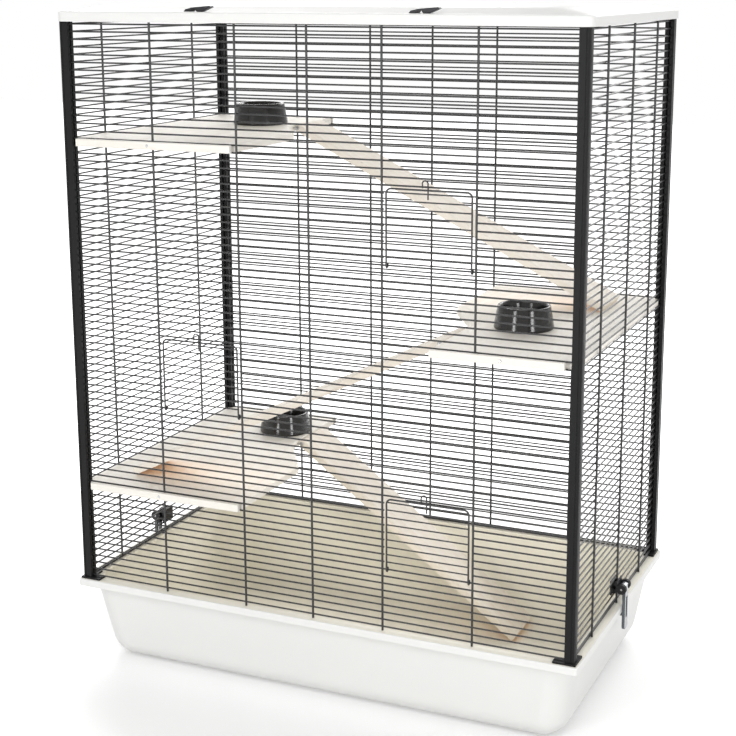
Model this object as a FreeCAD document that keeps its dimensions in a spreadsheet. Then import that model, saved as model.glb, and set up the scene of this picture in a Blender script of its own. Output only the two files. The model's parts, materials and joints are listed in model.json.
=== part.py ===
import FreeCAD, Part
import math
import os
import re
import Sketcher

# Tall wire pet cage. Millimetres, +Z up, origin under the middle of the tub.

V = FreeCAD.Vector
X_AXIS = V(1, 0, 0)
Y_AXIS = V(0, 1, 0)
Z_AXIS = V(0, 0, 1)

SIZES = [
    ("tub_length", 792.0, "rim of the tub along X"),
    ("tub_depth", 472.0, "rim of the tub along Y"),
    ("tub_height", 134.0, "underside of the tub to the top of the rim"),
    ("tub_wall", 2.5, "wall and floor of the tub"),
    ("tub_inset", 30.0, "edge of the rim to the foot of the wall, seen from above"),
    ("tub_corner", 44.0, "corner radius of the wall"),
    ("tub_foot_round", 41.0, "radius between wall and floor, outside"),
    ("rim_overhang", 7.0, "edge of the rim to the wall under it"),
    ("rim_width", 20.0, "edge of the rim to the opening"),
    ("rim_thick", 3.0, "thickness of the flat rim"),
    ("rim_lip", 11.0, "height of the turned-down lip"),
    ("rim_corner", 5.0, "corner radius of the rim"),
    ("rim_round", 2.0, "rounding along the top edge of the rim"),
    ("post_side", 14.0, "square section of a post"),
    ("post_setback", 6.0, "edge of the rim to the outer face of a post"),
    ("post_height", 840.0, "top of the rim to the underside of the lid"),
    ("post_round", 2.0, "rounding of the long outer edge of a post"),
    ("flute_width", 1.8, "groove along the outer faces of a post"),
    ("flute_depth", 1.0, "depth of that groove"),
    ("flute_inset", 3.6, "outer corner of a post to the groove"),
    ("slot_width", 2.8, "slot in a post for the wire ends"),
    ("slot_depth", 4.5, "depth of that slot"),
    ("spigot_diameter", 7.0, "round end of a post"),
    ("spigot_length", 8.0, "length of that end"),
    ("fit_gap", 0.05, "radial play of pins, spigots and screws in their holes"),
    ("part_gap", 0.3, "air between pieces that pass or face each other"),
    ("foot_reach", 16.0, "foot plate beyond the post along each wall"),
    ("foot_flare", 2.5, "foot plate beyond the outer faces of a post"),
    ("foot_thick", 3.0, "thickness of a foot plate"),
    ("lid_overhang", 4.0, "lid edge beyond the posts"),
    ("lid_edge", 14.5, "height of the lid edge"),
    ("lid_wall", 2.5, "wall of the lid"),
    ("lid_corner", 14.0, "corner radius of the lid"),
    ("lid_margin", 30.0, "flat border of the lid top along the front and the back"),
    ("lid_side_margin", 5.0, "flat border of the lid top along the sides"),
    ("lid_slope", 14.0, "width of the slope up to the raised middle, front and back"),
    ("lid_rise", 7.5, "height of the raised middle above the border"),
    ("lid_round", 3.0, "rounding along the top edge of the lid"),
    ("boss_diameter", 18.0, "round boss for a spigot in each corner of the lid and the tub"),
    ("bar_diameter", 2.4, "horizontal wires"),
    ("bar_pitch", 10.8, "step from one horizontal wire to the next"),
    ("bar_first", 5.0, "top of the rim to the lowest wire"),
    ("rail_diameter", 3.0, "lowest rail of the back and side walls"),
    ("upright_diameter", 3.2, "upright wires"),
    ("upright_inner", 109.0, "middle of the front wall to the inner upright of a bay"),
    ("upright_outer", 243.0, "middle of the front wall to the outer upright of a bay"),
    ("upright_side", 130.0, "middle of a side wall to its outer uprights"),
    ("upright_above", 6.0, "upright wires above the underside of the lid"),
    ("top_wire_up", 4.5, "underside of the lid to the wire inside it that the latches hold"),
    ("door_side_gap", 5.0, "upright to the side of a door, from the upright's middle"),
    ("door_wire", 2.5, "frame wire of a door"),
    ("door_bar", 2.0, "cross wires of a door"),
    ("door_rows", 10, "wall steps from the hinge wire to the first whole wire above a door"),
    ("door_drop", 4.0, "top wire of a door below that whole wire"),
    ("door_corner", 7.0, "bend radius in the frame corners, at the wire's middle"),
    ("catch_width", 8.0, "bend of the catch, between the middles of its legs"),
    ("catch_leg", 9.0, "straight part of the catch above the door"),
    ("catch_free", 6.0, "free leg of the catch"),
    ("catch_grip", 12.0, "catch below the top wire of the door"),
    ("row_right_high", 48, "hinge wire of the upper right door, counted from the lowest wire"),
    ("row_right_low", 8, "hinge wire of the lower right door"),
    ("row_left", 26, "hinge wire of the left door"),
    ("shelf_thick", 10.0, "shelf board"),
    ("shelf_wide", 266.0, "wide part of a board, from the side wall"),
    ("shelf_narrow", 202.0, "narrow part of a board, from the side wall"),
    ("shelf_turn_wide", 36.0, "middle line of the cage to the end of the wide part"),
    ("shelf_turn_narrow", 66.0, "middle line of the cage to the start of the narrow part"),
    ("shelf_turn_round", 60.0, "rounding where the free edge turns"),
    ("shelf_edge_round", 1.5, "rounding along the upper edge of a board"),
    ("wire_play", 0.6, "board or latch leg to the wires beside it"),
    ("shelf_row_low", 13, "wire row under the middle of the lowest board"),
    ("shelf_row_step", 24, "wire rows from one board to the next"),
    ("cleat_height", 11.0, "wooden cleat outside the wire"),
    ("cleat_thick", 6.0, "thickness of a cleat"),
    ("cleat_setback", 8.5, "post to the near end of a cleat"),
    ("cleat_play", 0.5, "far end of a cleat to the free edge of the board"),
    ("cleat_round", 1.0, "rounding along the long outer edges of a cleat"),
    ("screw_diameter", 3.0, "cleat screws"),
    ("screw_bite", 18.0, "screw in the board end"),
    ("screw_head", 4.6, "diameter of a screw head"),
    ("screw_crown", 1.2, "height of a screw head"),
    ("ramp_width", 86.0, "width of a ramp"),
    ("ramp_thick", 11.0, "thickness of a ramp"),
    ("ramp_inset", 92.2, "end of a board to the middle of a ramp"),
    ("ramp_long", 560.0, "hinge to foot, shelf to shelf"),
    ("ramp_short", 464.0, "hinge to foot, shelf to tub floor"),
    ("ramp_round", 1.2, "rounding of the long upper edges of a ramp"),
    ("hinge_reach", 7.0, "edge of the board to the hinge pin of a ramp"),
    ("hinge_pin", 3.0, "hinge pin of a ramp"),
    ("hinge_over", 2.0, "pin beyond each eye"),
    ("eye_wire", 2.0, "wire of a screw eye"),
    ("eye_gap", 0.8, "side of a ramp to an eye"),
    ("eye_bite", 14.0, "screw eye in the board edge"),
    ("bowl_base", 86.0, "diameter of a bowl at the base"),
    ("bowl_rim", 75.0, "diameter of a bowl at the rim"),
    ("bowl_height", 33.0, "height of a bowl"),
    ("bowl_wall", 3.0, "wall of a bowl at the rim"),
    ("bowl_floor", 6.0, "thickness under the hollow of a bowl"),
    ("bowl_round", 1.5, "blunted edges of a bowl"),
    ("bowl_low_x", 156.0, "side wall to the bowl on the lowest board"),
    ("bowl_low_y", 132.0, "middle line to the bowl on the lowest board"),
    ("bowl_mid_x", 128.0, "side wall to the bowl on the middle board"),
    ("bowl_mid_y", 54.0, "middle line to the bowl on the middle board"),
    ("bowl_high_x", 145.0, "side wall to the bowl on the highest board"),
    ("bowl_high_y", 84.0, "middle line to the bowl on the highest board"),
    ("clip_reach", 13.0, "plane of the side wires out to the clip pin"),
    ("clip_pivot_up", 27.0, "top of the rim up to the clip pin"),
    ("clip_pin", 3.0, "pin of a clip"),
    ("clip_knuckle", 11.0, "diameter of the lever round its pin"),
    ("clip_lever_width", 17.0, "lever along the wall"),
    ("clip_ear_width", 5.5, "ear of the bracket along the wall"),
    ("clip_ear", 15.0, "diameter of a bracket ear"),
    ("clip_rib", 1.5, "width of one rib on an ear"),
    ("clip_rib_depth", 0.8, "depth of the grooves between the ribs"),
    ("clip_back_high", 22.0, "height of the bracket plates"),
    ("clip_back_thick", 2.4, "thickness of the bracket plates"),
    ("clip_web", 6.0, "bracket webs that pass between the wires"),
    ("clip_web_inset", 3.0, "middle upright to a web"),
    ("clip_arm", 4.5, "thickness of the lever arm"),
    ("clip_arm_gap", 0.8, "edge of the rim to the lever arm"),
    ("clip_drop", 38.0, "top of the rim down to the end of the lever"),
    ("clip_toe", 3.0, "lever toe under the lip of the rim"),
    ("clip_toe_gap", 0.5, "lip of the rim to the toe"),
    ("clip_toe_high", 4.0, "height of the toe"),
    ("clip_end_round", 6.5, "rounding of the lever's lower corners"),
    ("clip_window", 7.0, "window in the lever, along the wall"),
    ("clip_window_down", 14.5, "clip pin to the top of that window"),
    ("clip_window_high", 32.0, "height of that window"),
    ("latch_place", 167.0, "middle of the front to a lid latch"),
    ("latch_length", 43.0, "lid latch along the front edge"),
    ("latch_depth", 10.0, "lid latch from front to back"),
    ("latch_inset", 10.5, "front of the lid to the latch"),
    ("latch_high", 8.0, "height of the latch at its raised end"),
    ("latch_low", 5.5, "height of the latch over its pointed end"),
    ("latch_bow", 1.9, "thickness of the bow and of the raised end"),
    ("latch_tip", 12.5, "pointed end of the latch along the edge"),
    ("latch_arch", 7.5, "opening under the bow along the edge"),
    ("latch_leg", 8.5, "leg of the latch along the edge"),
    ("latch_leg_thick", 3.5, "leg of the latch from front to back"),
    ("latch_toe", 2.2, "height of the toe under the wire"),
    ("latch_travel", 6.0, "slide of the latch"),
]

PLACES = [
    ("half_length", "tub_length / 2"),
    ("half_depth", "tub_depth / 2"),
    ("post_x", "tub_length / 2 - post_setback - post_side / 2"),
    ("post_y", "tub_depth / 2 - post_setback - post_side / 2"),
    ("lid_half_x", "tub_length / 2 - post_setback + lid_overhang"),
    ("lid_half_y", "tub_depth / 2 - post_setback + lid_overhang"),
    ("lid_under", "tub_height + post_height"),
    ("lid_border", "tub_height + post_height + lid_edge"),
    ("bar_rows", "floor((post_height - bar_first - bar_diameter) / bar_pitch) + 1"),
    ("wire_clear", "bar_diameter / 2 + wire_play"),
    ("upright_shift", "bar_diameter / 2 + upright_diameter / 2"),
    ("door_shift", "bar_diameter / 2 + door_wire / 2 + part_gap"),
    ("door_width", "upright_outer - upright_inner - 2 * door_side_gap"),
    ("hole_play", "2 * fit_gap"),
    ("shelf_wall", "post_x - wire_clear"),
    ("shelf_half", "post_y - wire_clear"),
    ("ramp_middle", "shelf_half - ramp_inset"),
    ("shelf_notch", "post_side / 2 - wire_clear + wire_play"),
    ("cleat_from", "post_side / 2 - wire_clear + cleat_setback"),
    ("cleat_face", "post_y + upright_shift + upright_diameter / 2 + fit_gap"),
    ("hinge_x", "shelf_narrow + hinge_reach"),
    ("eye_shift", "ramp_width / 2 + eye_gap + eye_wire / 2"),
    ("clip_x", "post_x + clip_reach"),
    ("clip_z", "tub_height + clip_pivot_up"),
    ("clip_rim", "tub_length / 2 - clip_x"),
    ("clip_outside", "upright_shift + upright_diameter / 2 + part_gap - clip_reach"),
    ("clip_inside", "-bar_diameter / 2 - part_gap - clip_reach"),
    ("clip_ear_from", "clip_lever_width / 2 + part_gap"),
    ("clip_half", "clip_ear_from + clip_ear_width"),
    ("latch_leg_x", "latch_tip + latch_arch + latch_leg / 2 - latch_length / 2"),
    ("latch_y", "latch_inset + latch_depth / 2 - lid_half_y"),
    ("latch_leg_y", "wire_clear - post_y"),
]


doc = FreeCAD.newDocument("PetCage")
sheet = doc.addObject("Spreadsheet::Sheet", "Sizes")
for line, (alias, value, note) in enumerate(SIZES, start=1):
    sheet.set(f"A{line}", note)
    sheet.set(f"B{line}", str(value))
    sheet.setAlias(f"B{line}", alias)
doc.recompute()

places = doc.addObject("App::VarSet", "Places")
PLACE_NAMES = {name for name, formula in PLACES}


def linked(formula):
    """Write a formula of size names as an expression on the sheet and the places."""

    def refer(hit):
        name = hit.group(0)
        return f"Places.{name}" if name in PLACE_NAMES else f"Sizes.{name}"

    return re.sub(r"\b[a-z]+(?:_[a-z]+)+\b", refer, formula)


for name, formula in PLACES:
    places.addProperty("App::PropertyFloat", name)
    places.setExpression(name, linked(formula))
doc.recompute()


def size(name):
    """Value of one named size or place."""
    return float(getattr(places if name in PLACE_NAMES else sheet, name))


def bind(item, prop, formula):
    item.setExpression(prop, linked(formula))


def origin_plane(body, role):
    return next(item for item in body.Origin.OriginFeatures if item.Role == role)


pieces = []


def new_piece(kind, name):
    """Object of the document that is one sub-part, written out under its name."""
    piece = doc.addObject(kind, name)
    piece.Label = name
    pieces.append(piece)
    return piece


def new_body(name):
    return new_piece("PartDesign::Body", name)


def new_sketch(body, name, plane, lift="0"):
    sketch = body.newObject("Sketcher::SketchObject", name)
    sketch.AttachmentSupport = [(origin_plane(body, plane), "")]
    sketch.MapMode = "FlatFace"
    bind(sketch, "AttachmentOffset.Base.z", lift)
    return sketch


def hold_point(sketch, edge, end, across, up):
    """Fix one end of an edge at two formulas in the sketch's own axes."""
    point = sketch.getPoint(edge, end)
    for kind, start, formula in (("DistanceX", point.x, across), ("DistanceY", point.y, up)):
        index = sketch.addConstraint(Sketcher.Constraint(kind, -1, 1, edge, end, start))
        bind(sketch, f"Constraints[{index}]", formula)


def add_polygon(sketch, corners):
    """Closed loop of straight edges through corners given as pairs of formulas."""
    first = sketch.GeometryCount
    count = len(corners)
    ring = [V(math.cos(2 * math.pi * k / count), math.sin(2 * math.pi * k / count), 0) for k in range(count)]
    for k in range(count):
        sketch.addGeometry(Part.LineSegment(ring[k], ring[(k + 1) % count]))
    for k in range(count):
        following = first + (k + 1) % count
        sketch.addConstraint(Sketcher.Constraint("Coincident", first + k, 2, following, 1))
    for k, (across, up) in enumerate(corners):
        hold_point(sketch, first + k, 1, across, up)


def add_circle(sketch, across, up, diameter):
    edge = sketch.addGeometry(Part.Circle(V(1, 1, 0), Z_AXIS, 1.0))
    index = sketch.addConstraint(Sketcher.Constraint("Diameter", edge, 2.0))
    bind(sketch, f"Constraints[{index}]", diameter)
    hold_point(sketch, edge, 3, across, up)


def add_rounded(sketch, half_x, half_y, radius):
    """Rectangle about the origin with round corners: four straight edges and four quarter arcs."""
    first = sketch.GeometryCount
    turns = [(1, 1), (-1, 1), (-1, -1), (1, -1)]
    for k, (east, north) in enumerate(turns):
        arc = Part.ArcOfCircle(Part.Circle(V(2 * east, 2 * north, 0), Z_AXIS, 1.0),
                               k * math.pi / 2, (k + 1) * math.pi / 2)
        sketch.addGeometry(arc)
    for k in range(4):
        here = sketch.Geometry[first + k].EndPoint
        there = sketch.Geometry[first + (k + 1) % 4].StartPoint
        sketch.addGeometry(Part.LineSegment(here, there))
    for k, (east, north) in enumerate(turns):
        arc = first + k
        edge = first + 4 + k
        following = first + (k + 1) % 4
        sketch.addConstraint(Sketcher.Constraint("Tangent", arc, 2, edge, 1))
        sketch.addConstraint(Sketcher.Constraint("Tangent", edge, 2, following, 1))
        hold_point(sketch, arc, 3, f"{east} * ({half_x} - ({radius}))", f"{north} * ({half_y} - ({radius}))")
    index = sketch.addConstraint(Sketcher.Constraint("Radius", first, 1.0))
    bind(sketch, f"Constraints[{index}]", radius)
    for k in range(1, 4):
        sketch.addConstraint(Sketcher.Constraint("Equal", first, first + k))


def rounded(body, name, half_x, half_y, radius, lift):
    sketch = new_sketch(body, name, "XY_Plane", lift)
    add_rounded(sketch, half_x, half_y, radius)
    return sketch


def settle(feature):
    """Work out a new feature, and stop where it fails."""
    doc.recompute()
    if not feature.isValid():
        raise RuntimeError(f"{feature.Name}: {feature.getStatusString()}")
    return feature


def extrude(kind, body, sketch, length, name, back, both, taper):
    feature = body.newObject(kind, name)
    feature.Profile = sketch
    bind(feature, "Length", length)
    bind(feature, "TaperAngle", taper)
    feature.Reversed = back
    if both:
        feature.SideType = "Symmetric"
    return settle(feature)


def pad(body, sketch, length, name, back=False, both=False, taper="0"):
    return extrude("PartDesign::Pad", body, sketch, length, name, back, both, taper)


def pocket(body, sketch, length, name, back=False, both=False, taper="0"):
    """Cut a sketch into the body, and make sure that it took material away."""
    before = body.Shape.Volume
    feature = extrude("PartDesign::Pocket", body, sketch, length, name, back, both, taper)
    if body.Shape.Volume > before - 1e-3:
        raise RuntimeError(f"{name} removes nothing")
    return feature


def loft(body, lower, upper, name, cut=False):
    feature = body.newObject("PartDesign::SubtractiveLoft" if cut else "PartDesign::AdditiveLoft", name)
    feature.Profile = lower
    feature.Sections = [upper]
    return settle(feature)


def fillet(body, radius, name, chosen):
    """Round the edges of the body that the test chooses."""
    base = body.Tip
    names = [f"Edge{k}" for k, edge in enumerate(base.Shape.Edges, start=1) if chosen(edge)]
    feature = body.newObject("PartDesign::Fillet", name)
    feature.Base = (base, names)
    bind(feature, "Radius", radius)
    return settle(feature)


def slab(body, name, x_from, x_to, y_from, y_to, z_from, height):
    """Rectangular pad between two corners."""
    sketch = new_sketch(body, name + "_outline", "XY_Plane", z_from)
    add_polygon(sketch, [(x_from, y_from), (x_to, y_from), (x_to, y_to), (x_from, y_to)])
    return pad(body, sketch, height, name)


def drill(body, name, plane, lift, centres, diameter, depth, back=False):
    """Round holes of one depth, started from one plane."""
    sketch = new_sketch(body, name + "_circles", plane, lift)
    for across, up in centres:
        add_circle(sketch, across, up, diameter)
    return pocket(body, sketch, depth, name, back)


def level(edge, height, slack=1e-3):
    """True where an edge lies flat at one height."""
    box = edge.BoundBox
    return abs(box.ZMin - height) < slack and abs(box.ZMax - height) < slack


def along(edge, axis):
    """True where an edge is straight and runs along an axis."""
    if edge.Curve.TypeId != "Part::GeomLine":
        return False
    return abs(edge.tangentAt(edge.FirstParameter).dot(axis)) > 0.999


def wire(start, end, diameter):
    """Straight round wire between two points."""
    step = end - start
    return Part.makeCylinder(diameter / 2, step.Length, start, step)


def bend(start, heading, centre, axis, angle, diameter):
    """Round wire bent about an axis through a centre, from a start point and heading."""
    section = Part.Face(Part.Wire(Part.makeCircle(diameter / 2, start, heading)))
    return section.revolve(centre, axis, angle)


def add_shape(name, solids):
    """Piece whose solids are made here and kept apart in one compound."""
    piece = new_piece("Part::Feature", name)
    piece.Shape = solids[0] if len(solids) == 1 else Part.makeCompound(solids)
    return piece


def turned(angle):
    return FreeCAD.Rotation(Z_AXIS, angle)


def add_well(body, wall, low, foot):
    """Drafted block with round corners and foot: the tub's outside, or its hollow where wall is nothing."""
    thinner = f"(tub_wall - {wall})"
    half_x = f"(half_length - rim_overhang - {thinner})"
    half_y = f"(half_depth - rim_overhang - {thinner})"
    mouth = new_sketch(body, "well_mouth", "XY_Plane", "tub_height")
    add_polygon(mouth, [(f"-{half_x}", f"-{half_y}"), (half_x, f"-{half_y}"),
                        (half_x, half_y), (f"-{half_x}", half_y)])
    block = pad(body, mouth, f"tub_height - {low}", "well", back=True,
                taper="-atan((tub_inset - rim_overhang) / tub_height)")
    bottom = block.Shape.BoundBox.ZMin
    fillet(body, f"tub_corner - {thinner}", "corner_round", lambda edge: edge.BoundBox.ZLength > 1)
    fillet(body, foot, "foot_round", lambda edge: level(edge, bottom))


def make_tub():
    body = new_body("base_tub")
    add_well(body, "tub_wall", "0", "tub_foot_round")
    plate = rounded(body, "rim_outline", "half_length", "half_depth", "rim_corner", "tub_height")
    pad(body, plate, "rim_thick", "rim", back=True)
    ring = new_sketch(body, "lip_outline", "XY_Plane", "tub_height")
    add_rounded(ring, "half_length", "half_depth", "rim_corner")
    add_rounded(ring, "half_length - tub_wall", "half_depth - tub_wall", "rim_corner - tub_wall")
    pad(body, ring, "rim_lip", "lip", back=True)
    rim_top = size("tub_height")
    fillet(body, "rim_round", "rim_top_round", lambda edge: level(edge, rim_top))
    # The space inside is a block of its own, so that its foot can be rounded before it is cut out.
    space = doc.addObject("PartDesign::Body", "tub_space")
    add_well(space, "0", "tub_wall", "tub_foot_round - tub_wall")
    hollow = body.newObject("PartDesign::Boolean", "hollow")
    hollow.Type = "Cut"
    hollow.Group = [space]
    settle(hollow)
    ledge = new_sketch(body, "ledge_outline", "XY_Plane", "tub_height")
    add_rounded(ledge, "half_length - rim_overhang", "half_depth - rim_overhang", "tub_corner")
    add_rounded(ledge, "half_length - rim_width", "half_depth - rim_width",
                "tub_corner + rim_overhang - rim_width")
    pad(body, ledge, "rim_thick", "ledge", back=True)
    corners = [(f"{east} * post_x", f"{north} * post_y") for east in (-1, 1) for north in (-1, 1)]
    bosses = new_sketch(body, "boss_circles", "XY_Plane", "tub_height")
    for across, up in corners:
        add_circle(bosses, across, up, "boss_diameter")
    pad(body, bosses, "spigot_length", "bosses", back=True)
    drill(body, "post_holes", "XY_Plane", "tub_height", corners, "spigot_diameter + hole_play",
          "spigot_length - foot_thick + part_gap")


def make_post(name, east, north):
    """Post with its outer corner towards east and north: fluted outside, slotted inside for the wires."""
    body = new_body(name)
    half = "post_side / 2"
    sketch = new_sketch(body, "section", "XY_Plane", "tub_height + foot_thick")
    near = f"{half} - slot_depth"
    outer = f"{half} - flute_inset"
    inner = f"{half} - flute_inset - flute_width"
    sunk = f"{half} - flute_depth"
    slit = "slot_width / 2"
    loop = [
        (half, half), (outer, half), (outer, sunk), (inner, sunk), (inner, half), (f"-({half})", half),
        (f"-({half})", slit), (f"-({near})", slit),
        (f"-({near})", f"-({slit})"), (f"-({half})", f"-({slit})"),
        (f"-({half})", f"-({half})"),
        (f"-({slit})", f"-({half})"), (f"-({slit})", f"-({near})"),
        (slit, f"-({near})"), (slit, f"-({half})"),
        (half, f"-({half})"), (half, inner), (sunk, inner), (sunk, outer), (half, outer),
    ]
    add_polygon(sketch, [(f"{east} * ({across})", f"{north} * ({up})") for across, up in loop])
    pad(body, sketch, "post_height - foot_thick", "shaft")
    reach = size("post_side") / 2
    corner = V(east * reach, north * reach, 0)
    fillet(body, "post_round", "corner_round",
           lambda edge: along(edge, Z_AXIS) and math.hypot(edge.CenterOfMass.x - corner.x,
                                                           edge.CenterOfMass.y - corner.y) < 1e-3)
    lower = new_sketch(body, "lower_spigot_circle", "XY_Plane", "tub_height + foot_thick")
    add_circle(lower, "0", "0", "spigot_diameter")
    pad(body, lower, "spigot_length", "lower_spigot", back=True)
    upper = new_sketch(body, "upper_spigot_circle", "XY_Plane", "lid_under")
    add_circle(upper, "0", "0", "spigot_diameter")
    pad(body, upper, "spigot_length", "upper_spigot")
    body.Placement = FreeCAD.Placement(V(east * size("post_x"), north * size("post_y"), 0), turned(0))


def make_post_foot(name, east, north):
    body = new_body(name)
    half = "post_side / 2"
    outer = f"({half} + foot_flare)"
    far = f"-({half} + foot_reach)"
    sketch = new_sketch(body, "outline", "XY_Plane", "tub_height")
    loop = [(outer, outer), (far, outer), (far, f"-({half})"),
            (f"-({half})", f"-({half})"), (f"-({half})", far), (outer, far)]
    add_polygon(sketch, [(f"{east} * ({across})", f"{north} * ({up})") for across, up in loop])
    pad(body, sketch, "foot_thick", "plate")
    drill(body, "spigot_hole", "XY_Plane", "tub_height + foot_thick", [("0", "0")],
          "spigot_diameter + hole_play", "foot_thick")
    body.Placement = FreeCAD.Placement(V(east * size("post_x"), north * size("post_y"), 0), turned(0))


def row_height(row):
    """Height of the middle of a horizontal wire."""
    return size("tub_height") + size("bar_first") + row * size("bar_pitch")


DOORS = [
    ("door_upper_right", 1, "row_right_high"),
    ("door_lower_right", 1, "row_right_low"),
    ("door_left", -1, "row_left"),
]


def without(spans, left, right):
    """Spans of a wire with the stretch from left to right taken out."""
    kept = []
    for start, end in spans:
        if right <= start or end <= left:
            kept.append((start, end))
            continue
        if start < left:
            kept.append((start, left))
        if right < end:
            kept.append((right, end))
    return kept


def doorway(east):
    """Ends of the wires cut for a door, at the far sides of the uprights beside it."""
    inner = east * size("upright_inner")
    outer = east * size("upright_outer")
    weld = size("upright_diameter") / 2
    return min(inner, outer) + weld, max(inner, outer) - weld


def make_panel(name, along_x, side, with_doors=False):
    """Wire wall: wires in the post slots, uprights welded on outside, a low rail where it has no doors."""
    plane = size("post_y") if along_x else size("post_x")
    corner = size("post_x") if along_x else size("post_y")
    face = corner - size("post_side") / 2
    reach = face + size("slot_depth") - size("part_gap")
    low = size("tub_height") + size("part_gap")
    high = size("lid_under") + size("upright_above")
    bays = [size("upright_inner"), size("upright_outer")] if along_x else [size("upright_side")]

    def spot(run, out, z):
        """Point on the wall: run along it, out beyond its plane."""
        beyond = side * (plane + out)
        return V(run, beyond, z) if along_x else V(beyond, run, z)

    solids = []
    for row in range(int(size("bar_rows"))):
        spans = [(-reach, reach)]
        for door, east, hinge_row in DOORS:
            if with_doors and 0 < row - size(hinge_row) < size("door_rows"):
                spans = without(spans, *doorway(east))
        for start, end in spans:
            z = row_height(row)
            solids.append(wire(spot(start, 0, z), spot(end, 0, z), size("bar_diameter")))
    shift = size("upright_shift")
    for run in [0.0] + bays + [-bay for bay in bays]:
        solids.append(wire(spot(run, shift, low), spot(run, shift, high), size("upright_diameter")))
    hidden = size("lid_under") + size("top_wire_up")
    clear = corner - size("boss_diameter") / 2 - size("part_gap")
    solids.append(wire(spot(-clear, 0, hidden), spot(clear, 0, hidden), size("bar_diameter")))
    if not with_doors:
        rail = size("rail_diameter")
        sunk = (size("bar_diameter") - rail) / 2
        z = low + rail / 2
        end = face - size("foot_reach") - size("part_gap")
        solids.append(wire(spot(-end, sunk, z), spot(end, sunk, z), rail))
    add_shape(name, solids)


def make_door(name, east, hinge_row):
    """Door about its hinge wire: a bent frame that curls round the wire, cross wires and a catch."""
    frame = size("door_wire")
    thin = size("door_bar")
    out = -size("door_shift")
    side = size("door_width") / 2 - frame / 2
    top = size("door_rows") * size("bar_pitch") - size("door_drop")
    corner = size("door_corner")
    solids = []
    for hand in (-1, 1):
        foot = V(hand * side, out, 0)
        shoulder = V(hand * side, out, top - corner)
        solids.append(wire(foot, shoulder, frame))
        solids.append(bend(shoulder, Z_AXIS, shoulder - V(hand * corner, 0, 0), V(0, -hand, 0), 90, frame))
        solids.append(bend(foot, Z_AXIS, V(0, 0, 0), X_AXIS, 270, frame))
    solids.append(wire(V(corner - side, out, top), V(side - corner, out, top), frame))
    bar_y = out + frame / 2 + thin / 2
    count = int(size("door_rows")) - 1
    for row in range(1, count + 1):
        z = top * row / (count + 0.5)
        solids.append(wire(V(-side, bar_y, z), V(side, bar_y, z), thin))
    hook_y = out - frame / 2 - thin / 2
    root = top - size("catch_grip")
    neck = top + size("catch_leg")
    swing = size("catch_width")
    solids.append(wire(V(0, hook_y, root), V(0, hook_y, neck), thin))
    solids.append(bend(V(0, hook_y, neck), Z_AXIS, V(-swing / 2, hook_y, neck), V(0, -1, 0), 180, thin))
    solids.append(wire(V(-swing, hook_y, neck), V(-swing, hook_y, neck - size("catch_free")), thin))
    door = add_shape(name, solids)
    middle = east * (size("upright_inner") + size("upright_outer")) / 2
    door.Placement = FreeCAD.Placement(V(middle, -size("post_y"), row_height(size(hinge_row))), turned(0))


def make_lid():
    body = new_body("lid")
    edge_line = rounded(body, "edge_outline", "lid_half_x", "lid_half_y", "lid_corner", "lid_under")
    pad(body, edge_line, "lid_edge", "edge")
    border = size("lid_border")
    fillet(body, "lid_round", "edge_round", lambda edge: level(edge, border))
    inner = "(lid_margin + lid_slope)"
    low = rounded(body, "rise_foot", "lid_half_x - lid_side_margin", "lid_half_y - lid_margin", "lid_corner",
                  "lid_border")
    high = rounded(body, "rise_head", f"lid_half_x - {inner}", f"lid_half_y - {inner}", "lid_corner",
                   "lid_border + lid_rise")
    loft(body, low, high, "rise")
    cavity = rounded(body, "cavity_outline", "lid_half_x - lid_wall", "lid_half_y - lid_wall",
                     "lid_corner - lid_wall", "lid_under")
    pocket(body, cavity, "lid_edge - lid_wall", "cavity", back=True)
    low = rounded(body, "crown_foot", "lid_half_x - lid_side_margin - lid_wall",
                  "lid_half_y - lid_margin - lid_wall", "lid_corner", "lid_border - lid_wall")
    high = rounded(body, "crown_head", f"lid_half_x - {inner} - lid_wall", f"lid_half_y - {inner} - lid_wall",
                   "lid_corner", "lid_border + lid_rise - lid_wall")
    loft(body, low, high, "crown_hollow", cut=True)
    corners = [(f"{east} * post_x", f"{north} * post_y") for east in (-1, 1) for north in (-1, 1)]
    bosses = new_sketch(body, "boss_circles", "XY_Plane", "lid_under")
    for across, up in corners:
        add_circle(bosses, across, up, "boss_diameter")
    pad(body, bosses, "lid_edge - lid_wall / 2", "bosses")
    drill(body, "post_holes", "XY_Plane", "lid_under", corners, "spigot_diameter + hole_play",
          "spigot_length + part_gap", back=True)
    slots = new_sketch(body, "latch_slot_outlines", "XY_Plane", "lid_border")
    half = "(latch_leg / 2 + part_gap)"
    front = "latch_leg_y - part_gap"
    rear = "latch_leg_y + latch_leg_thick + latch_travel + part_gap"
    for east in (-1, 1):
        left = f"{east} * latch_place + latch_leg_x - {half}"
        right = f"{east} * latch_place + latch_leg_x + {half}"
        add_polygon(slots, [(left, front), (right, front), (right, rear), (left, rear)])
    pocket(body, slots, "lid_wall + 1", "latch_slots")


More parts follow.
